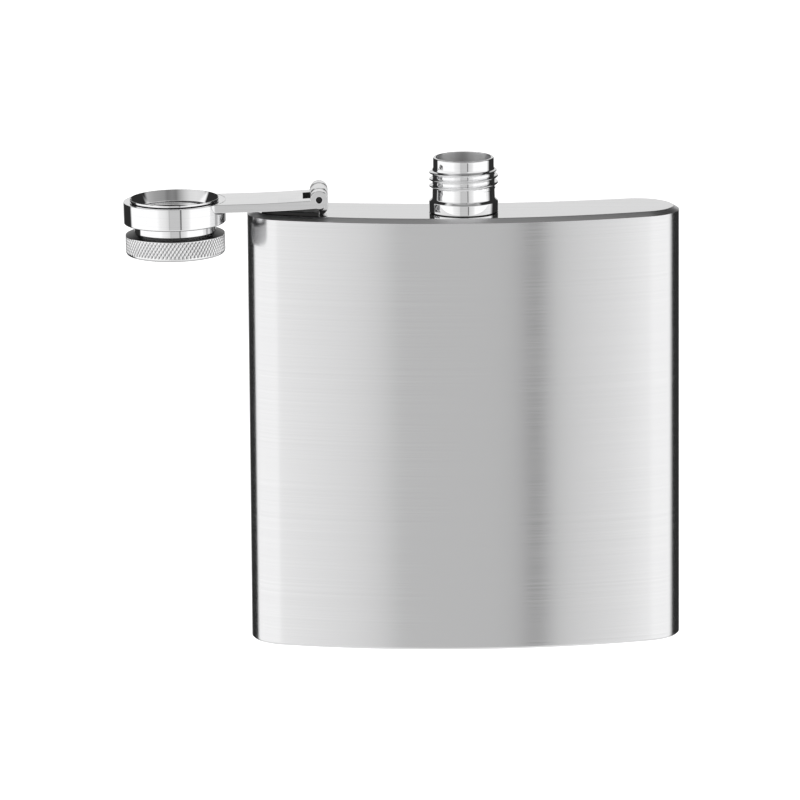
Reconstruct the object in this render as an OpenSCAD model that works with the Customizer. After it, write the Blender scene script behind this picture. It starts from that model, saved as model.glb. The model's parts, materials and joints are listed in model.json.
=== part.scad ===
// Pocket hip flask with a captive screw cap on a hinged arm.
// The neck's axis is X = Y = 0, the flask stands on Z = 0 and its convex face looks towards -Y.

/* [View] */
// Node to draw, or all of them

/* [Flask body] */
// Width across the rounded ends
body_width = 94.4; // [86:0.2:98]
// Height from the base to the top plate
body_height = 96; // [60:0.5:140]
// Thickness at the middle, between the convex and the hollow face
body_thickness = 20.4; // [18.6:0.2:22]
// Radius of the convex front
front_radius = 138; // [120:1:160]
// Radius of the rounded ends
end_radius = 9.4; // [9.2:0.1:10.2]
// Sheet thickness of the wrapped wall
sheet = 0.6; // [0.5:0.1:1]
// Width of the sloping edge of the top plate, seen from above
top_bevel_width = 1.4; // [0.8:0.1:1.8]
// Drop of the sloping edge of the top plate
top_bevel_drop = 0.9; // [0.6:0.1:1.4]
// Bevel round the base plate
base_bevel = 0.4; // [0.2:0.1:0.6]
// Height of the base plate's visible rim
base_rim = 0.8; // [0.7:0.1:1.5]
// Depth of each plate's plug inside the wall
plug_depth = 1; // [0.6:0.1:2]

/* [Neck] */
// Height of the neck above the top plate
neck_height = 12; // [11.6:0.1:12.2]
// Radius of the pouring bore
bore_radius = 6; // [5.6:0.1:6.1]
// Outer radius at the rim
rim_radius = 6.65; // [6.5:0.05:6.8]
// Outer radius of the plain part below the thread
shank_radius = 6.85; // [6.8:0.05:7]
// Radius over the thread's crests
crest_radius = 7.55; // [7.2:0.05:7.6]
// Radius of the foot collar
collar_radius = 7.55; // [7.3:0.05:7.9]
// Height of the foot collar
collar_height = 2.4; // [2:0.1:3]
// Thread pitch, on the neck and in the cap
thread_pitch = 1.5; // [1.3:0.1:1.6]
// Height of the lowest thread above the top plate
thread_start = 4.9; // [4.4:0.1:5.2]
// Turns of thread on the neck
neck_turns = 3; // [2:1:3]

/* [Hinge] */
// Distance from the neck's axis to the hinge pin
hinge_reach = 31.5; // [31.3:0.1:32.5]
// Height of the hinge pin above the top plate
hinge_height = 4; // [3.9:0.05:4.1]
// Radius of the hinge pin
pin_radius = 0.7; // [0.5:0.05:0.9]
// Radial clearance of the pin in the bracket's knuckle
pin_clearance = 0.05; // [0.02:0.01:0.1]
// Depth of each pin end below the ear's face
pin_recess = 0.7; // [0.2:0.1:0.8]
// Outer radius of the knuckles
knuckle_radius = 1.95; // [1.7:0.05:2]
// Length of the bracket's middle knuckle
knuckle_length = 6.4; // [5.5:0.1:7.5]
// Length of each ear on the arm
ear_length = 3.4; // [2.5:0.1:4]
// Gap between the middle knuckle and an ear
ear_gap = 0.25; // [0.1:0.05:0.3]
// Thickness of the bracket's bent sheet
bracket_sheet = 0.9; // [0.7:0.1:1.1]
// Length of the bracket's foot beyond the pin
foot_length = 12.5; // [4:0.5:13]
// Width of the bracket's foot across the flask
foot_width = 13; // [8:0.5:14]
// Downward slope of the open arm, in degrees
open_slope = 0.8; // [0.4:0.1:1.4]

/* [Arm and ring] */
// Thickness of the arm
arm_thickness = 1.8; // [1.4:0.1:2]
// Drop of the arm's top from the pin's level to the ring's rim
ring_drop = 0.55; // [0.3:0.05:0.7]
// Length of the arm's curved part, from the pin
bow_reach = 18; // [12:1:19]
// Reach of the arm's slot from the pin
slot_reach = 3.5; // [3:0.1:4.5]
// Outer radius of the ring
ring_radius = 11.15; // [10.8:0.05:11.5]
// Inner radius of the ring
ring_bore = 9.15; // [9.1:0.05:9.3]
// Height of the ring
ring_height = 4.85; // [4.2:0.05:5]
// Bevel on the ring's outer edges
ring_bevel = 0.25; // [0.1:0.05:0.4]

/* [Cap] */
// Outer radius of the threaded skirt
skirt_radius = 8.9; // [8.8:0.05:9]
// Radius inside the skirt, between its threads
groove_radius = 8.4; // [8.35:0.05:8.5]
// Radius over the skirt's threads
rib_radius = 8.1; // [8.05:0.05:8.2]
// Turns of thread in the cap
cap_turns = 4; // [2:1:4]
// Outer radius of the flared mouth
flare_radius = 9.75; // [9.6:0.05:9.8]
// Rise of the flared mouth above the ring
flare_rise = 0.6; // [0.5:0.05:0.7]
// Radius of the grip
knob_radius = 10.85; // [10.5:0.05:11.3]
// Gap between the ring and the grip
knob_gap = 2.45; // [2.2:0.05:2.6]
// Height of the grip
knob_height = 4.4; // [4.2:0.05:5]
// Bevel on the grip's edge next to the ring
knob_bevel = 0.2; // [0.1:0.1:0.5]
// Rise of the grip's sloping top towards the skirt
knob_crown = 0.65; // [0.2:0.05:0.7]
// Rounding of the grip's far edge
knob_round = 0.9; // [0.5:0.1:1.2]
// Thickness of the cap's closed end
cap_end = 1.9; // [1.6:0.1:2.1]
// Radius of the sealing disc
liner_radius = 7.9; // [7.5:0.05:8]
// Thickness of the sealing disc
liner_thickness = 0.8; // [0.6:0.1:1]
// Play between the sealing disc and the cap's end
liner_play = 0.15; // [0.1:0.05:0.2]

/* [Hidden] */
$fn = 96;
overshoot = 1;
bow_steps = 12;

// Centres of the arcs that make the flask's section: the front, the two ends and the back
front_centre = front_radius - body_thickness / 2;
end_x = body_width / 2 - end_radius;
end_y = front_centre - sqrt(pow(front_radius - end_radius, 2) - pow(end_x, 2));
end_offset = end_y - body_thickness / 2;
back_radius = (pow(end_x, 2) + pow(end_offset, 2) - pow(end_radius, 2)) / (2 * (end_radius + end_offset));
back_centre = body_thickness / 2 + back_radius;

// Half the angle that the front arc and the back arc each span
front_half = atan2(end_x, front_centre - end_y);
back_half = atan2(end_x, back_centre - end_y);
front_steps = 44;
back_steps = 40;
end_steps = 36;

top_under = body_height - top_bevel_drop;
spigot_radius = bore_radius + 0.45;
spigot_gap = 0.1;
collar_gap = 0.15;
collar_chamfer = 0.6;
rim_break = 0.25;
thread_flank = 0.45;
thread_land = 0.3;

arm_width = knuckle_length + 2 * (ear_gap + ear_length);
slot_width = knuckle_length + 2 * ear_gap;
pin_length = arm_width - 2 * pin_recess;
hinge_level = body_height + hinge_height;

// Heights in the cap's own frame: zero at the ring's rim, negative towards the grip
knob_top = -ring_height - knob_gap;
knob_end = knob_top - knob_height;
cap_floor = knob_end + cap_end;
countersink = 0.5;
flare_lip = 0.4;
flare_wall = 0.12;
rib_first = -2.2;

function arc(centre, radius, from, to, steps) =
    [for (i = [0 : steps - 1]) let (angle = from + (to - from) * i / steps) centre + radius * [cos(angle), sin(angle)]];

// The flask's section, drawn in all round by inset: front, right end, back and left end
function outline(inset) = concat(
    arc([0, front_centre], front_radius - inset, -90 - front_half, -90 + front_half, front_steps),
    arc([end_x, end_y], end_radius - inset, -90 + front_half, 90 + back_half, end_steps),
    arc([0, back_centre], back_radius + inset, -90 + back_half, -90 - back_half, back_steps),
    arc([-end_x, end_y], end_radius - inset, 90 - back_half, 270 - front_half, end_steps)
);

// The neck's hole in the top plate, as far round as each point of the section's outline
function hole(radius) = [for (p = outline(0)) radius * p / norm(p)];

// A solid through a list of [height, outline] rings; a closed one runs from the last ring back to the first
module lofted(rings, closed = false) {
    count = len(rings[0][1]);
    last = len(rings) - 1;
    polyhedron(
        points = [for (ring = rings, p = ring[1]) [p.x, p.y, ring[0]]],
        faces = concat(
            closed ? [] : [[for (i = [0 : count - 1]) i], [for (i = [count - 1 : -1 : 0]) last * count + i]],
            [
                for (ring = [0 : closed ? last : last - 1], i = [0 : count - 1])
                    let (low = ring * count, high = (ring + 1) % (last + 1) * count, next = (i + 1) % count)
                        [low + i, high + i, high + next, low + next]
            ]
        )
    );
}

module body_sleeve() {
    color("silver")
    translate([0, 0, base_rim])
        linear_extrude(top_under - base_rim)
            difference() {
                polygon(outline(0));
                polygon(outline(sheet));
            }
}

module top_plate() {
    plug_floor = top_under - plug_depth;
    color("gainsboro")
    lofted(closed = true, rings = [
        [plug_floor, outline(sheet)],
        [top_under, outline(sheet)],
        [top_under, outline(0)],
        [body_height, outline(top_bevel_width)],
        [body_height, hole(spigot_radius + spigot_gap)],
        [plug_floor, hole(spigot_radius + spigot_gap)]
    ]);
}

module base_plate() {
    color("silver")
    lofted([
        [0, outline(base_bevel)],
        [base_bevel, outline(0)],
        [base_rim, outline(0)],
        [base_rim, outline(sheet)],
        [base_rim + plug_depth, outline(sheet)]
    ]);
}

module neck() {
    threads = [
        for (turn = [0 : neck_turns - 1], step = [0 : 3])
            [
                (step == 1 || step == 2) ? crest_radius : shank_radius,
                thread_start + turn * thread_pitch
                    + [0, thread_flank, thread_flank + thread_land, 2 * thread_flank + thread_land][step]
            ]
    ];
    thread_end = thread_start + neck_turns * thread_pitch;
    color("whitesmoke")
    translate([0, 0, body_height])
        rotate_extrude()
            polygon(concat(
                [
                    [bore_radius, -top_bevel_drop - plug_depth],
                    [spigot_radius, -top_bevel_drop - plug_depth],
                    [spigot_radius, 0],
                    [collar_radius - collar_gap, 0],
                    [collar_radius - collar_gap, collar_gap],
                    [collar_radius, collar_gap],
                    [collar_radius, collar_height],
                    [shank_radius, collar_height + collar_chamfer]
                ],
                threads,
                [
                    [rim_radius, thread_end],
                    [rim_radius, neck_height - rim_break],
                    [rim_radius - rim_break, neck_height],
                    [bore_radius, neck_height]
                ]
            ));
}

// Turns a drawing in X and Y into a bar along the pin, centred on Y = 0
module along_pin(length) {
    rotate([90, 0, 0])
        linear_extrude(length, center = true)
            children();
}

module hinge_bracket() {
    color("lightgray")
    translate([-hinge_reach, 0, hinge_level])
        difference() {
            union() {
                along_pin(knuckle_length) {
                    circle(r = knuckle_radius);
                    translate([knuckle_radius - bracket_sheet, knuckle_radius - hinge_height])
                        square([bracket_sheet, hinge_height - knuckle_radius]);
                    translate([0, knuckle_radius - hinge_height])
                        intersection() {
                            difference() {
                                circle(r = knuckle_radius);
                                circle(r = knuckle_radius - bracket_sheet);
                            }
                            translate([0, -knuckle_radius])
                                square(knuckle_radius);
                        }
                }
                intersection() {
                    along_pin(foot_width)
                        translate([-foot_length, -hinge_height])
                            square([foot_length, bracket_sheet]);
                    translate([hinge_reach, 0, -hinge_height])
                        linear_extrude(hinge_height, center = true)
                            polygon(outline(top_bevel_width));
                }
            }
            along_pin(arm_width)
                circle(r = pin_radius + pin_clearance);
        }
}

// Puts the arm's own frame, with the pin at its origin, where the open arm stands
module on_hinge() {
    translate([-hinge_reach, 0, hinge_level])
        rotate([0, -open_slope, 0])
            children();
}

// Puts the cap's own frame, with the ring's rim at zero, where the open arm holds it
module on_ring() {
    on_hinge()
        translate([-hinge_reach, 0, -ring_drop])
            children();
}

module hinge_pin() {
    color("dimgray")
    on_hinge()
        along_pin(pin_length)
            circle(r = pin_radius);
}

// The arm's top line moved by lift: down in a curve from the pin, then level as far as the ring's axis
function arm_line(lift) = concat(
    [for (i = [0 : bow_steps]) [-bow_reach * i / bow_steps, lift - ring_drop * (1 - pow(1 - i / bow_steps, 2))]],
    [[-hinge_reach, lift - ring_drop]]
);

function reversed(points) = [for (i = [len(points) - 1 : -1 : 0]) points[i]];

module cap_arm() {
    color("gainsboro")
    on_hinge()
        difference() {
            union() {
                along_pin(arm_width)
                    polygon(concat(arm_line(0), reversed(arm_line(-arm_thickness))));
                along_pin(arm_width)
                    circle(r = knuckle_radius);
            }
            translate([-slot_reach, -slot_width / 2, -hinge_height])
                cube([2 * slot_reach, slot_width, 2 * hinge_height]);
            translate([-hinge_reach, 0, -hinge_height])
                cylinder(r = ring_radius, h = 2 * hinge_height);
            along_pin(arm_width + overshoot)
                circle(r = pin_radius);
        }
}

module cap_ring() {
    color("whitesmoke")
    on_ring()
        rotate_extrude()
            polygon([
                [ring_bore, -ring_height + ring_bevel],
                [ring_bore + ring_bevel, -ring_height],
                [ring_radius - ring_bevel, -ring_height],
                [ring_radius, -ring_height + ring_bevel],
                [ring_radius, -ring_bevel],
                [ring_radius - ring_bevel, 0],
                [ring_bore + countersink, 0],
                [ring_bore, -countersink]
            ]);
}

module cap_skirt() {
    ribs = [
        for (turn = [0 : cap_turns - 1], step = [0 : 3])
            [
                (step == 1 || step == 2) ? rib_radius : groove_radius,
                rib_first - turn * thread_pitch
                    - [0, thread_flank, thread_flank + thread_land, 2 * thread_flank + thread_land][step]
            ]
    ];
    lip_foot = flare_lip - flare_radius + skirt_radius;
    color("gainsboro")
    on_ring()
        rotate_extrude()
            polygon(concat(
                [
                    [skirt_radius, cap_floor],
                    [skirt_radius, lip_foot],
                    [flare_radius, flare_lip],
                    [flare_radius, flare_rise],
                    [flare_radius - flare_wall, flare_rise],
                    [rib_radius, rib_first + thread_flank],
                    [rib_radius, rib_first + thread_flank - thread_land]
                ],
                ribs,
                [[groove_radius, cap_floor]]
            ));
}

module cap_knob() {
    color("whitesmoke")
    on_ring()
        rotate_extrude() {
            polygon([
                [0, knob_end],
                [knob_radius - knob_round, knob_end],
                [knob_radius - knob_round, knob_end + knob_round],
                [knob_radius, knob_end + knob_round],
                [knob_radius, knob_top - knob_bevel],
                [knob_radius - knob_bevel, knob_top],
                [skirt_radius, knob_top + knob_crown],
                [skirt_radius, cap_floor],
                [0, cap_floor]
            ]);
            translate([knob_radius - knob_round, knob_end + knob_round])
                circle(r = knob_round);
        }
}

module cap_liner() {
    color("dimgray")
    on_ring()
        translate([0, 0, cap_floor + liner_play])
            cylinder(r = liner_radius, h = liner_thickness);
}

body_sleeve();
top_plate();
base_plate();
neck();
hinge_bracket();
hinge_pin();
cap_arm();
cap_ring();
cap_skirt();
cap_knob();
cap_liner();
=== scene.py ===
"""Looks for the hip flask. Lengths are in metres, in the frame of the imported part."""

import json
import math

import bpy
from mathutils import Matrix, Vector


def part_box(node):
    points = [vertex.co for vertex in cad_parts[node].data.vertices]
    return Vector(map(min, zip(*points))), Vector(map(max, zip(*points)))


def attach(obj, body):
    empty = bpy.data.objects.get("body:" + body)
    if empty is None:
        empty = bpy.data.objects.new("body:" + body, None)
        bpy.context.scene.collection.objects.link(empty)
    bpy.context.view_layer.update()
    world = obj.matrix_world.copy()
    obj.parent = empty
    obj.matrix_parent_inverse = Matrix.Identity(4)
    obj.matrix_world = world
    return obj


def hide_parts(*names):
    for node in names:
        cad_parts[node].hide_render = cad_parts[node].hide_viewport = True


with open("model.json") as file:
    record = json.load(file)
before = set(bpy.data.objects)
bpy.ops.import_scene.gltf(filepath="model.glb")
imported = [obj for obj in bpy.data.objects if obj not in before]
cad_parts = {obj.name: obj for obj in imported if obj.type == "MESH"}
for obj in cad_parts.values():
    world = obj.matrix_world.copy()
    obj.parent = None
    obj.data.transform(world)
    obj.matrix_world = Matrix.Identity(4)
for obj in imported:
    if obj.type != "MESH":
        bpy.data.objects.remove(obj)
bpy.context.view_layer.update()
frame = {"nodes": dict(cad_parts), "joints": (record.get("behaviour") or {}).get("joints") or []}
MM = 0.001
JOINTS = {j["name"]: j for j in frame["joints"]}

# ---------------------------------------------------------------- sizes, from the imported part
wall_low, wall_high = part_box("body_sleeve")
plate_low, plate_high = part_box("top_plate")
base_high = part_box("base_plate")[1]
WIDTH = wall_high.x - wall_low.x
FRONT_Y = wall_low.y
TOP = plate_high.z
TOP_UNDER = wall_high.z
BASE_RIM = wall_low.z

FRONT_R = 138 * MM
END_R = 9.4 * MM
THICK = -2 * FRONT_Y
FRONT_C = FRONT_R + FRONT_Y
END_X = WIDTH / 2 - END_R
END_Y = FRONT_C - math.sqrt((FRONT_R - END_R) ** 2 - END_X ** 2)
END_OFF = END_Y - THICK / 2
BACK_R = (END_X ** 2 + END_OFF ** 2 - END_R ** 2) / (2 * (END_R + END_OFF))
BACK_C = THICK / 2 + BACK_R
FRONT_HALF = math.atan2(END_X, FRONT_C - END_Y)
BACK_HALF = math.atan2(END_X, BACK_C - END_Y)

RING = Vector(JOINTS["cap_spin"]["pos_m"])
AXIS = Vector(JOINTS["cap_spin"]["axis"])
ON_RING = Matrix.Translation(RING) @ Matrix.Rotation(math.atan2(AXIS.x, AXIS.z), 4, "Y")
KNOB_MIDDLE = RING - 9.3 * MM * AXIS


# ---------------------------------------------------------------- mesh helpers
def arc(cx, cy, radius, start, end, steps):
    angles = [start + (end - start) * i / steps for i in range(steps)]
    return [(cx + radius * math.cos(angle), cy + radius * math.sin(angle)) for angle in angles]


def outline(inset):
    """The flask's section drawn in all round by inset, anticlockwise from the front's left end."""
    quarter = math.pi / 2
    return (
        arc(0, FRONT_C, FRONT_R - inset, -quarter - FRONT_HALF, -quarter + FRONT_HALF, 120)
        + arc(END_X, END_Y, END_R - inset, -quarter + FRONT_HALF, quarter + BACK_HALF, 64)
        + arc(0, BACK_C, BACK_R + inset, -quarter + BACK_HALF, -quarter - BACK_HALF, 100)
        + arc(-END_X, END_Y, END_R - inset, quarter - BACK_HALF, 3 * quarter - FRONT_HALF, 64)
    )


def make(name, verts, faces, place=None, sharp=35):
    mesh = bpy.data.meshes.new(name)
    mesh.from_pydata(verts, [], faces)
    if place is not None:
        mesh.transform(place)
    mesh.validate()
    mesh.shade_smooth()
    mesh.set_sharp_from_angle(angle=math.radians(sharp))
    obj = bpy.data.objects.new(name, mesh)
    bpy.context.scene.collection.objects.link(obj)
    return obj


def stack(rings, loop=False):
    """Vertices and faces of rings of points joined in turn, with flat ends unless they loop."""
    count = len(rings[0])
    verts = [p for ring in rings for p in ring]
    faces = []
    for r in range(len(rings) if loop else len(rings) - 1):
        low, high = r * count, (r + 1) % len(rings) * count
        faces += [(low + i, low + (i + 1) % count, high + (i + 1) % count, high + i) for i in range(count)]
    if not loop:
        faces += [tuple(reversed(range(count))), tuple((len(rings) - 1) * count + i for i in range(count))]
    return verts, faces


def soften(corners, steps=4, loop=True):
    """A profile of (x, z, rounding) corners with each corner rounded off by that much."""
    points = []
    count = len(corners)
    for i, (x, z, cut) in enumerate(corners):
        if cut == 0 or (not loop and i in (0, count - 1)):
            points.append((x, z))
            continue
        here = Vector((x, z))
        before = Vector(corners[i - 1][:2]) - here
        after = Vector(corners[(i + 1) % count][:2]) - here
        cut = min(cut, before.length * 0.45, after.length * 0.45)
        a, b = here + before.normalized() * cut, here + after.normalized() * cut
        for s in range(steps + 1):
            t = s / steps
            points.append(tuple(a.lerp(here, t).lerp(here.lerp(b, t), t)))
    return points


def lathe(profile, segments=224, shape=None):
    """Rings of a closed (radius, height) profile turned about Z.

    shape(radius, height, turn) may move a radius.
    """
    rings = []
    for radius, height in profile:
        ring = []
        for i in range(segments):
            turn = 2 * math.pi * i / segments
            r = shape(radius, height, turn) if shape else radius
            ring.append((r * math.cos(turn), r * math.sin(turn), height))
        rings.append(ring)
    return rings


def finer(profile, low, high, step):
    """The profile with its long straight runs between two heights cut into short ones."""
    points = []
    for i, (x, z) in enumerate(profile):
        x1, z1 = profile[(i + 1) % len(profile)]
        points.append((x, z))
        if min(z, z1) > high or max(z, z1) < low or abs(z1 - z) <= step:
            continue
        parts = int(abs(z1 - z) / step)
        points += [(x + (x1 - x) * k / parts, z + (z1 - z) * k / parts) for k in range(1, parts)]
    return points


def mm(corners):
    return [(x * MM, z * MM, cut * MM) for x, z, cut in corners]


# ---------------------------------------------------------------- materials
# Nearly all of a noise's values lie between these two
NOISE_SPAN = (0.3, 0.7)
# Grey of the painted shade in a knurl's grooves
GROOVE_SHADE_GREY = (0.30, 0.30, 0.303, 1)
DULL_ROUGHNESS = 0.3


class Nodes:
    """A small builder for one node material."""

    def __init__(self, name):
        self.material = bpy.data.materials.new(name)
        self.material.use_nodes = True
        self.tree = self.material.node_tree
        self.shader = self.tree.nodes["Principled BSDF"]

    def add(self, kind, **values):
        node = self.tree.nodes.new(kind)
        for key, value in values.items():
            if hasattr(node, key):
                setattr(node, key, value)
            else:
                node.inputs[key.replace("_", " ")].default_value = value
        return node

    def link(self, source, target):
        self.tree.links.new(source, target)

    def noise(self, scale, stretch=(1, 1, 1), detail=3.0):
        place = self.add("ShaderNodeTexCoord")
        mapping = self.add("ShaderNodeMapping")
        mapping.inputs["Scale"].default_value = stretch
        self.link(place.outputs["Object"], mapping.inputs["Vector"])
        noise = self.add("ShaderNodeTexNoise", Scale=scale, Detail=detail)
        self.link(mapping.outputs["Vector"], noise.inputs["Vector"])
        return noise.outputs["Fac"]

    def ranged(self, value, low, high, start=0.0, end=1.0):
        """The value carried from between low and high to between start and end."""
        span = self.add("ShaderNodeMapRange")
        for key, number in (("From Min", low), ("From Max", high), ("To Min", start), ("To Max", end)):
            span.inputs[key].default_value = number
        self.link(value, span.inputs["Value"])
        return span.outputs["Result"]

    def spread(self, noise, start, end):
        return self.ranged(noise, *NOISE_SPAN, start, end)

    def tint(self, value, dark, light):
        ramp = self.add("ShaderNodeValToRGB")
        ramp.color_ramp.elements[0].position = NOISE_SPAN[0]
        ramp.color_ramp.elements[1].position = NOISE_SPAN[1]
        ramp.color_ramp.elements[0].color = (*dark, 1)
        ramp.color_ramp.elements[1].color = (*light, 1)
        self.link(value, ramp.inputs["Fac"])
        return ramp.outputs["Color"]

    def painted_groove_shade(self, color, axis, low, high):
        """Painted shade: darker as the distance from an upright axis falls from high to low, as shade falls in
        a knurl's grooves.
        """
        place = self.add("ShaderNodeTexCoord")
        out = self.add("ShaderNodeVectorMath", operation="SUBTRACT")
        out.inputs[1].default_value = axis
        self.link(place.outputs["Object"], out.inputs[0])
        flat = self.add("ShaderNodeVectorMath", operation="MULTIPLY")
        flat.inputs[1].default_value = (1, 1, 0)
        self.link(out.outputs[0], flat.inputs[0])
        length = self.add("ShaderNodeVectorMath", operation="LENGTH")
        self.link(flat.outputs[0], length.inputs[0])
        shade = self.add("ShaderNodeMix", data_type="RGBA")
        shade.inputs["A"].default_value = GROOVE_SHADE_GREY
        self.link(self.ranged(length.outputs["Value"], low, high), shade.inputs["Factor"])
        self.link(color, shade.inputs["B"])
        return shade.outputs["Result"]

    def painted_shade_and_dull(self, color, roughness, kind, level, low, high):
        """The same finish with painted shade, a grey of the given level, and more roughness, from low to high.

        kind "height" goes by the part's own height, "outer" by the height but not on faces that look along +X,
        and "hidden" by how far a face looks up or down, and on the walls of the slot.
        """
        place = self.add("ShaderNodeTexCoord")
        where, facing = self.add("ShaderNodeSeparateXYZ"), self.add("ShaderNodeSeparateXYZ")
        self.link(place.outputs["Object"], where.inputs[0])
        self.link(place.outputs["Normal"], facing.inputs[0])
        if kind == "height":
            shade_and_dull = self.ranged(where.outputs["Z"], low, high)
        elif kind == "outer":
            side = self.add("ShaderNodeMath", operation="MULTIPLY")
            self.link(self.ranged(where.outputs["Z"], low, high), side.inputs[0])
            self.link(self.ranged(facing.outputs["X"], 0.7, 0.4), side.inputs[1])
            shade_and_dull = side.outputs[0]
        else:
            inward = self.add("ShaderNodeMath", operation="MULTIPLY")
            self.link(where.outputs["Y"], inward.inputs[0])
            self.link(facing.outputs["Y"], inward.inputs[1])
            either = self.add("ShaderNodeMath", operation="MAXIMUM")
            self.link(self.ranged(facing.outputs["Z"], low, high), either.inputs[0])
            self.link(self.ranged(inward.outputs[0], -1 * MM, -3 * MM), either.inputs[1])
            shade_and_dull = either.outputs[0]
        shade = self.add("ShaderNodeMix", data_type="RGBA")
        shade.inputs["B"].default_value = (level, level, level, 1)
        self.link(shade_and_dull, shade.inputs["Factor"])
        self.link(color, shade.inputs["A"])
        rougher = self.add("ShaderNodeMath", operation="MULTIPLY_ADD")
        rougher.inputs[1].default_value = DULL_ROUGHNESS
        self.link(shade_and_dull, rougher.inputs[0])
        self.link(roughness, rougher.inputs[2])
        return shade.outputs["Result"], rougher.outputs[0]

    def bump(self, value, depth, before=None):
        bump = self.add("ShaderNodeBump", Strength=1.0, Distance=depth)
        self.link(value, bump.inputs["Height"])
        if before is not None:
            self.link(before, bump.inputs["Normal"])
        return bump.outputs["Normal"]


def metal(name, levels, rough, stretch, depth, blue=0.005, shade_and_dull=None, waves=None, groove_shade=None):
    """Steel with fine lines.

    levels and rough run from the dark lines to the light ones, and stretch is the lines' frequency along X, Y
    and Z. depth is the height of their bump, waves the height of a broad unevenness and blue the tint.
    """
    n = Nodes(name)
    lines = n.noise(1.0, stretch, 4.0)
    marks = n.noise(90.0, (1, 1, 1), 2.0)
    n.shader.inputs["Metallic"].default_value = 1.0
    uneven = n.add("ShaderNodeMath", operation="ADD")
    n.link(n.spread(lines, rough[0], rough[1]), uneven.inputs[0])
    n.link(n.spread(marks, -0.006, 0.008), uneven.inputs[1])
    color, roughness = n.tint(lines, *((level, level, level + blue) for level in levels)), uneven.outputs[0]
    # Painted shade: a darker grey in the knurl's grooves
    if groove_shade is not None:
        color = n.painted_groove_shade(color, *groove_shade)
    # Painted shade: a dark grey, with more roughness, on the faces that the mask picks
    if shade_and_dull is not None:
        color, roughness = n.painted_shade_and_dull(color, roughness, *shade_and_dull)
    n.link(color, n.shader.inputs["Base Color"])
    n.link(roughness, n.shader.inputs["Roughness"])
    broad = n.bump(n.noise(1.0, (20, 20, 40), 2.0), waves) if waves else None
    n.link(n.bump(lines, depth, before=broad), n.shader.inputs["Normal"])
    return n.material


MICRON = 0.001 * MM
TURNED = {"levels": (0.84, 0.89), "rough": (0.02, 0.05), "stretch": (30, 30, 3000), "depth": 0.1 * MICRON}
PRESSED = {"levels": (0.82, 0.88), "rough": (0.05, 0.09), "stretch": (25, 1500, 1500), "depth": 0.2 * MICRON}

# Faces of the arm get painted shade and more roughness from the first lean downwards, and one that looks
# straight down gets 0.7 of it
ARM_UNDERSIDE_SHADE = (-0.8, -1.085)

brushed = metal("brushed_wall", (0.735, 0.785), (0.14, 0.21), (7, 7, 5600), 1 * MICRON, waves=0.05 * MM)
polished = metal("polished_plate", (0.76, 0.82), (0.035, 0.07), (20, 2200, 20), 0.1 * MICRON)
edge_steel = metal("satin_edge", (0.74, 0.80), (0.30, 0.36), (20, 2200, 20), 0.2 * MICRON)
turned = metal("bright_turned", **TURNED)
# Painted shade: a near black band at the neck's foot, where it meets the plate
neck_steel = metal("bright_neck", **TURNED, shade_and_dull=("height", 0.02, TOP + 0.22 * MM, TOP + 0.15 * MM))
# Painted shade: a dark grey on the arm's underside and the slot's walls
arm_steel = metal("bright_arm", **PRESSED, shade_and_dull=("hidden", 0.06, *ARM_UNDERSIDE_SHADE))
# Painted shade: near black on the bracket's foot, except on faces that look along +X
bracket_steel = metal("bright_bracket", **PRESSED, shade_and_dull=("outer", 0.03, TOP + 1.3 * MM, TOP + 1.0 * MM))
# Painted shade: near black on the knob's faces that look up and on the slot's walls, and a darker grey in its
# knurl's grooves
knurl_steel = metal(
    "knurled_steel", (0.82, 0.90), (0.05, 0.09), (400, 400, 400), 0.3 * MICRON,
    shade_and_dull=("hidden", 0.03, 0.75, 0.9), groove_shade=(KNOB_MIDDLE, 10.58 * MM, 10.80 * MM),
)
# The pin is painted nearly black: painted shade in its recessed hole
pin_painted_shade_steel = metal("pin_steel_painted_shade", (0.02, 0.05), (0.22, 0.36), (900, 900, 900), 1.5 * MICRON, blue=0.001)


def bored():
    """Steel with fine rings round a bore, which spread the light up and down."""
    material = metal("bored_steel", (0.84, 0.90), (0.46, 0.54), (30, 30, 3000), 0.4 * MICRON)
    links, shader = material.node_tree.links, material.node_tree.nodes["Principled BSDF"]
    shader.inputs["Anisotropic"].default_value = 0.95
    shader.inputs["Anisotropic Rotation"].default_value = 0.25
    around = material.node_tree.nodes.new("ShaderNodeTangent")
    around.direction_type = "RADIAL"
    around.axis = "Z"
    links.new(around.outputs["Tangent"], shader.inputs["Tangent"])
    return material


rubber = Nodes("seal_rubber")
grain = rubber.noise(2500.0, detail=3.0)
rubber_tone = rubber.tint(grain, (0.035, 0.035, 0.037), (0.07, 0.07, 0.072))
rubber.link(rubber_tone, rubber.shader.inputs["Base Color"])
rubber.link(rubber.spread(grain, 0.55, 0.75), rubber.shader.inputs["Roughness"])
rubber.link(rubber.bump(grain, 0.02 * MM), rubber.shader.inputs["Normal"])


def finish_piece(obj, material, slot, body, *nodes):
    obj.data.materials.append(material)
    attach(obj, body)
    if nodes:
        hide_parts(*nodes)
    return obj


# ---------------------------------------------------------------- wall, top and base
def section_rings(levels):
    return [[(x, y, z) for x, y in outline(inset)] for inset, z in levels]


SHEET = 0.6 * MM
wall = [(0, BASE_RIM), (0, TOP_UNDER), (SHEET, TOP_UNDER), (SHEET, BASE_RIM)]
wall = finer(wall, BASE_RIM, TOP_UNDER, 12 * MM)
flask_wall = make("flask_wall", *stack(section_rings(wall), loop=True))
finish_piece(flask_wall, brushed, "brushed_wall", "flask", "body_sleeve")

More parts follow.
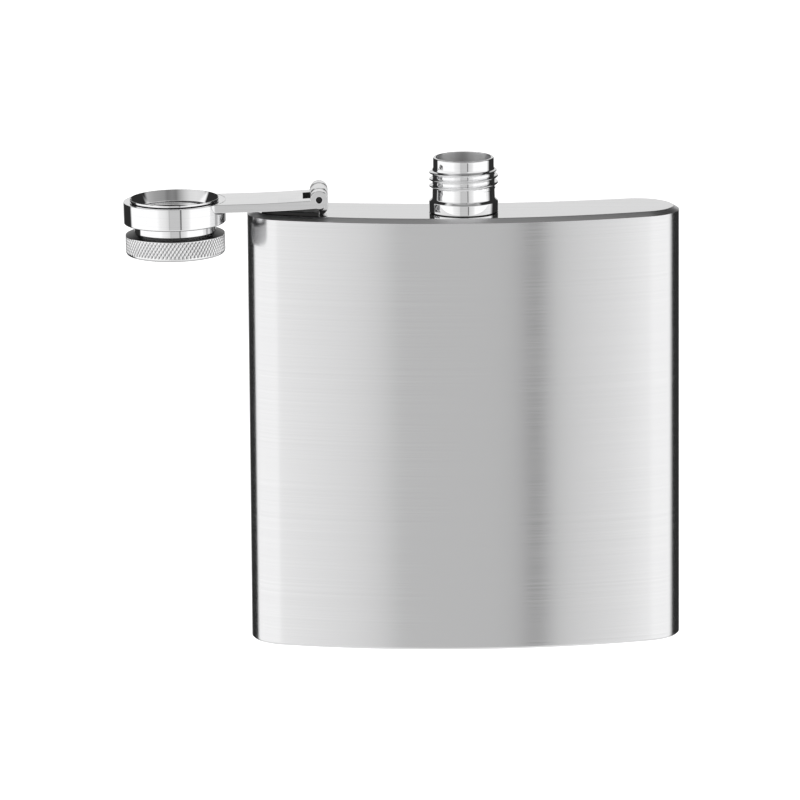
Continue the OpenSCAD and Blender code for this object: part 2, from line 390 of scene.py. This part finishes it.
BEVEL = 1.4 * MM
HOLE = 6.3 * MM
edge = soften([
    (SHEET, plate_low.z, 0), (SHEET, TOP_UNDER, 0), (0, TOP_UNDER, 0),
    (BEVEL, TOP, 0.16 * MM), (BEVEL + 2 * MM, TOP, 0),
], loop=False)
plate_rings = section_rings(edge)
for height in (TOP, plate_low.z):
    toward = [Vector(point).normalized() for point in outline(0)]
    plate_rings.append([(HOLE * way.x, HOLE * way.y, height) for way in toward])
flask_top = make("flask_top", *stack(plate_rings, loop=True))
finish_piece(flask_top, polished, "polished_plate", "flask", "top_plate")
flask_top.data.materials.append(edge_steel)
for face in flask_top.data.polygons:
    face.material_index = int(TOP_UNDER < face.center.z < TOP - 0.1 * MM)

BASE_BEVEL = 0.4 * MM
foot = soften([
    (BASE_BEVEL, 0, 0), (0, BASE_BEVEL, 0.12 * MM), (0, BASE_RIM, 0),
    (SHEET, BASE_RIM, 0), (SHEET, base_high.z, 0),
], loop=False)
flask_base = make("flask_base", *stack(section_rings(foot)))
finish_piece(flask_base, brushed, "brushed_wall", "flask", "base_plate")

# ---------------------------------------------------------------- neck, with its right-hand thread
PITCH = 1.47 * MM
RIDGE_HALF = 0.46 * MM
RIDGE_FADE = 0.35 * MM
NECK_THREAD = (TOP + 5.1 * MM, TOP + 9.5 * MM)
NECK_FIRST = TOP + 6.475 * MM
NECK_RIDGE = 0.74 * MM


def ridge(height, turn, first, low, high, top):
    """Height of a round-topped thread ridge that fades in above low and out below high."""
    turns = (height - first) / PITCH - turn / (2 * math.pi)
    off = abs(turns - round(turns)) * PITCH
    fade = max(0.0, min(1.0, (height - low) / RIDGE_FADE, (high - height) / RIDGE_FADE))
    return top * fade * (0 if off >= RIDGE_HALF else (0.5 + 0.5 * math.cos(math.pi * off / RIDGE_HALF)) ** 0.6)


def neck_shape(radius, height, turn):
    if radius < 6.5 * MM or not NECK_THREAD[0] < height < NECK_THREAD[1]:
        return radius
    return radius + ridge(height, turn, NECK_FIRST, *NECK_THREAD, NECK_RIDGE)


neck_profile = soften(mm([
    (6.0, -1.9, 0), (6.45, -1.9, 0), (6.45, 0, 0), (7.4, 0, 0), (7.4, 0.15, 0.05), (7.55, 0.2, 0.05),
    (7.55, 2.4, 0.1), (6.85, 3.0, 0.12), (6.81, 5.0, 0.2), (6.81, 9.4, 0.1), (6.65, 9.8, 0.1),
    (6.65, 12.0, 0.28), (6.0, 12.0, 0.2),
]))
neck_profile = [(x, z + TOP) for x, z in neck_profile]
neck_profile = finer(neck_profile, NECK_THREAD[0], NECK_THREAD[1], 0.05 * MM)
neck = make("neck_turned", *stack(lathe(neck_profile, 256, neck_shape), loop=True), sharp=50)
finish_piece(neck, neck_steel, "bright_fittings", "flask", "neck")
neck.data.materials.append(bored())
for face in neck.data.polygons:
    face.material_index = int(face.center.xy.length < 6.03 * MM)

# ---------------------------------------------------------------- ring and cap
ring_profile = soften(mm([
    (9.15, -4.6, 0.1), (9.4, -4.85, 0.1), (10.9, -4.85, 0.12), (11.15, -4.6, 0.12),
    (11.15, -0.06, 0.03), (11.09, 0, 0.03), (9.65, 0, 0.08), (9.15, -0.5, 0.1),
]))
cap_ring = make("retaining_ring", *stack(lathe(ring_profile), loop=True), ON_RING)
finish_piece(cap_ring, turned, "bright_fittings", "arm", "cap_ring")

CAP_THREAD = (-8.8 * MM, -1.9 * MM)
CAP_RIDGE = 0.3 * MM


def cap_shape(radius, height, turn):
    if not 8.3 * MM < radius < 8.45 * MM or not CAP_THREAD[0] < height < CAP_THREAD[1]:
        return radius
    return radius - ridge(height, turn, CAP_THREAD[0], *CAP_THREAD, CAP_RIDGE)


skirt_profile = soften(mm([
    (8.9, -9.8, 0), (8.9, -0.45, 0.1), (9.75, 0.2, 0.05), (9.75, 0.6, 0.06), (9.63, 0.6, 0.05),
    (8.15, -1.6, 0.12), (8.15, -1.75, 0.05), (8.4, -1.95, 0.05), (8.4, -9.8, 0),
]))
skirt_profile = finer(skirt_profile, CAP_THREAD[0], CAP_THREAD[1], 0.06 * MM)
skirt = make("cap_skirt_turned", *stack(lathe(skirt_profile, 224, cap_shape), loop=True), ON_RING)
finish_piece(skirt, turned, "bright_fittings", "cap", "cap_skirt")

KNURLS = 78
KNURL_BAND = (-11.0 * MM, -7.42 * MM)
KNURL_RISE = 1.25 * MM
KNURL_FADE = 0.12 * MM
KNURL_DEPTHS = (0.25 * MM, 0.13 * MM)


def wave(turns):
    """A sharp wave, 1 at each whole turn and 0 halfway between."""
    return abs(2 * (turns - math.floor(turns)) - 1)


def knob_shape(radius, height, turn):
    if radius < 10.84 * MM:
        return radius
    fade = max(0.0, min(1.0, (height - KNURL_BAND[0]) / KNURL_FADE, (KNURL_BAND[1] - height) / KNURL_FADE))
    across = KNURLS * turn / (2 * math.pi)
    down = height / KNURL_RISE
    grooves = KNURL_DEPTHS[0] * wave(across - down) ** 2.2 + KNURL_DEPTHS[1] * wave(across + down) ** 3
    return radius - fade * grooves


knob_profile = soften(mm([
    (0.001, -11.7, 0), (10.85, -11.7, 0.9), (10.85, -7.3, 0.12), (8.9, -6.65, 0.05), (8.9, -9.8, 0),
    (0.001, -9.8, 0),
]), steps=8)
knob_profile = finer(knob_profile, KNURL_BAND[0], KNURL_BAND[1], 0.075 * MM)
knob_rings = lathe(knob_profile, KNURLS * 10, knob_shape)
knob = make("cap_knurled_grip", *stack(knob_rings, loop=True), ON_RING, sharp=60)
finish_piece(knob, knurl_steel, "bright_fittings", "cap", "cap_knob")

liner_profile = soften(mm([
    (0.001, -9.65, 0), (7.9, -9.65, 0.1), (7.9, -8.85, 0.2), (7.0, -8.85, 0.1), (6.8, -9.0, 0.1),
    (5.9, -9.0, 0.1), (5.7, -8.85, 0.1), (0.001, -8.85, 0),
]))
liner = make("sealing_disc", *stack(lathe(liner_profile, 160), loop=True), ON_RING)
finish_piece(liner, rubber.material, "seal", "liner", "cap_liner")

# ---------------------------------------------------------------- arm, bracket and pin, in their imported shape
for name, finish in (("cap_arm", arm_steel), ("hinge_bracket", bracket_steel), ("hinge_pin", pin_painted_shade_steel)):
    carried = frame["nodes"][name]
    carried.data.materials.clear()
    carried.data.materials.append(finish)
    weld = carried.modifiers.new("weld", "WELD")
    weld.merge_threshold = 0.002 * MM
    tidy = carried.modifiers.new("tidy", "DECIMATE")
    tidy.decimate_type = "DISSOLVE"
    tidy.angle_limit = math.radians(1)
    soft = carried.modifiers.new("soft_edges", "BEVEL")
    soft.width = (0.12 if name == "cap_arm" else 0.2) * MM
    soft.segments = 3
    soft.angle_limit = math.radians(50)
    soft.harden_normals = True

# ---------------------------------------------------------------- floor, light and camera
floor_mesh = bpy.data.meshes.new("floor")
REACH = 30
corners = [(x * REACH, y * REACH, -0.2 * MM) for x, y in ((-1, -1), (1, -1), (1, 1), (-1, 1))]
floor_mesh.from_pydata(corners, [], [(0, 1, 2, 3)])
floor = bpy.data.objects.new("floor", floor_mesh)
bpy.context.scene.collection.objects.link(floor)
paper = Nodes("floor_paper")
paper_tone = paper.tint(paper.noise(40.0), (0.90, 0.90, 0.90), (0.92, 0.92, 0.92))
paper.link(paper_tone, paper.shader.inputs["Base Color"])
paper.shader.inputs["Roughness"].default_value = 0.9
paper.shader.inputs["Specular IOR Level"].default_value = 0.0
paper.shader.inputs["Emission Color"].default_value = (1, 1, 1, 1)
paper.shader.inputs["Emission Strength"].default_value = 0.9
floor.data.materials.append(paper.material)
floor.visible_glossy = False

# The light comes from all round, as (compass angle, level): 0 is towards the camera and + to its right. A pale
# table with a shaded strip down its middle lies below the horizon, then a pale room and a box of light over it
DARK = 0.03
TABLE = [
    (-180, 0.75), (-167, 0.7), (-157, DARK), (-118, DARK), (-112, 1.16), (-40, 1.16), (-33, 1.0), (-20, 0.88),
    (-12.7, 0.76), (-12.2, 0.3), (-11.6, 0.3), (-11, 0.62), (12.5, 0.62), (13.4, 0.1), (15.4, 0.1),
    (16.4, 0.72), (32, 0.93), (38, 1.16), (98, 1.16), (107, 0.55), (112, DARK), (157, DARK), (167, 0.7),
    (180, 0.75),
]
ROOM = [
    (-180, 0.80), (-164, 0.80), (-158, DARK), (-118, DARK), (-112, 1.1), (-18, 0.9), (-11, 0.62), (12, 0.62),
    (18, 0.9), (98, 1.1), (112, DARK), (158, DARK), (164, 0.80), (180, 0.80),
]
SOFTBOX = [
    (-180, DARK), (-112, DARK), (-104, 0.8), (-80, 0.85), (-60, 0.8), (-41, 0.62), (-24, 0.42), (-8, 0.22),
    (8, 0.26), (27, 0.22), (40, 0.32), (73, 0.38), (98, 0.5), (106, DARK), (180, DARK),
]
world = bpy.data.worlds.new("studio")
bpy.context.scene.world = world
world.use_nodes = True
tree = world.node_tree


def node(kind, **values):
    made = tree.nodes.new(kind)
    for key, value in values.items():
        setattr(made, key, value)
    return made


def graded(source, stops):
    """A grey value that follows source through (position, level) stops."""
    made = node("ShaderNodeValToRGB")
    ramp = made.color_ramp
    for k, (position, level) in enumerate(stops):
        stop = ramp.elements[k] if k < 2 else ramp.elements.new(position)
        stop.position = position
        stop.color = (level, level, level, 1)
    tree.links.new(source, made.inputs["Fac"])
    return made.outputs["Color"]


def blend(factor, first, second):
    """first where factor is 0 and second where it is 1; the second may be a plain grey level."""
    made = node("ShaderNodeMix", data_type="RGBA")
    tree.links.new(factor, made.inputs["Factor"])
    tree.links.new(first, made.inputs["A"])
    if isinstance(second, float):
        made.inputs["B"].default_value = (second, second, second, 1)
    else:
        tree.links.new(second, made.inputs["B"])
    return made.outputs["Result"]


sight = node("ShaderNodeSeparateXYZ")
tree.links.new(node("ShaderNodeTexCoord").outputs["Generated"], sight.inputs[0])
toward = node("ShaderNodeMath", operation="MULTIPLY")
toward.inputs[1].default_value = -1
tree.links.new(sight.outputs["Y"], toward.inputs[0])
angle = node("ShaderNodeMath", operation="ARCTAN2")
tree.links.new(sight.outputs["X"], angle.inputs[0])
tree.links.new(toward.outputs[0], angle.inputs[1])
share = node("ShaderNodeMapRange")
share.inputs["From Min"].default_value = -math.pi
share.inputs["From Max"].default_value = math.pi
tree.links.new(angle.outputs[0], share.inputs["Value"])
table, room, softbox = (
    graded(share.outputs["Result"], [((degrees + 180) / 360, level) for degrees, level in stops])
    for stops in (TABLE, ROOM, SOFTBOX)
)
rise = sight.outputs["Z"]
fall = node("ShaderNodeMath", operation="MULTIPLY")
fall.inputs[1].default_value = -1
tree.links.new(rise, fall.inputs[0])
UNDER = 0.95
CEILING = 0.32
level = blend(graded(fall.outputs[0], [(0.5, 0.0), (0.62, 1.0)]), table, UNDER)
level = blend(graded(rise, [(0.0, 0.0), (0.03, 1.0)]), level, room)
level = blend(graded(rise, [(0.54, 0.0), (0.60, 1.0)]), level, softbox)
level = blend(graded(rise, [(0.88, 0.0), (0.94, 1.0)]), level, CEILING)
tree.links.new(level, tree.nodes["Background"].inputs["Color"])
tree.nodes["Background"].inputs["Strength"].default_value = 1.0

AZIMUTH, ELEVATION, ROLL = (math.radians(v) for v in (-0.83, 12.33, -0.45))
TARGET = Vector((-0.0142, 0, 0.05398))
DISTANCE = 1.724
level_way = math.cos(ELEVATION)
back = Vector((math.sin(AZIMUTH) * level_way, -math.cos(AZIMUTH) * level_way, math.sin(ELEVATION)))
right = (-back).cross(Vector((0, 0, 1))).normalized()
up = back.cross(right)
right, up = right * math.cos(ROLL) + up * math.sin(ROLL), up * math.cos(ROLL) - right * math.sin(ROLL)
camera_data = bpy.data.cameras.new("camera")
camera_data.sensor_width = 36
camera_data.lens = 354.3
camera_data.clip_end = 100
camera = bpy.data.objects.new("camera", camera_data)
bpy.context.scene.collection.objects.link(camera)
turn = Matrix((right, up, back)).transposed().to_4x4()
camera.matrix_world = Matrix.Translation(TARGET + back * DISTANCE) @ turn
bpy.context.scene.camera = camera
bpy.context.scene.view_settings.view_transform = "Standard"
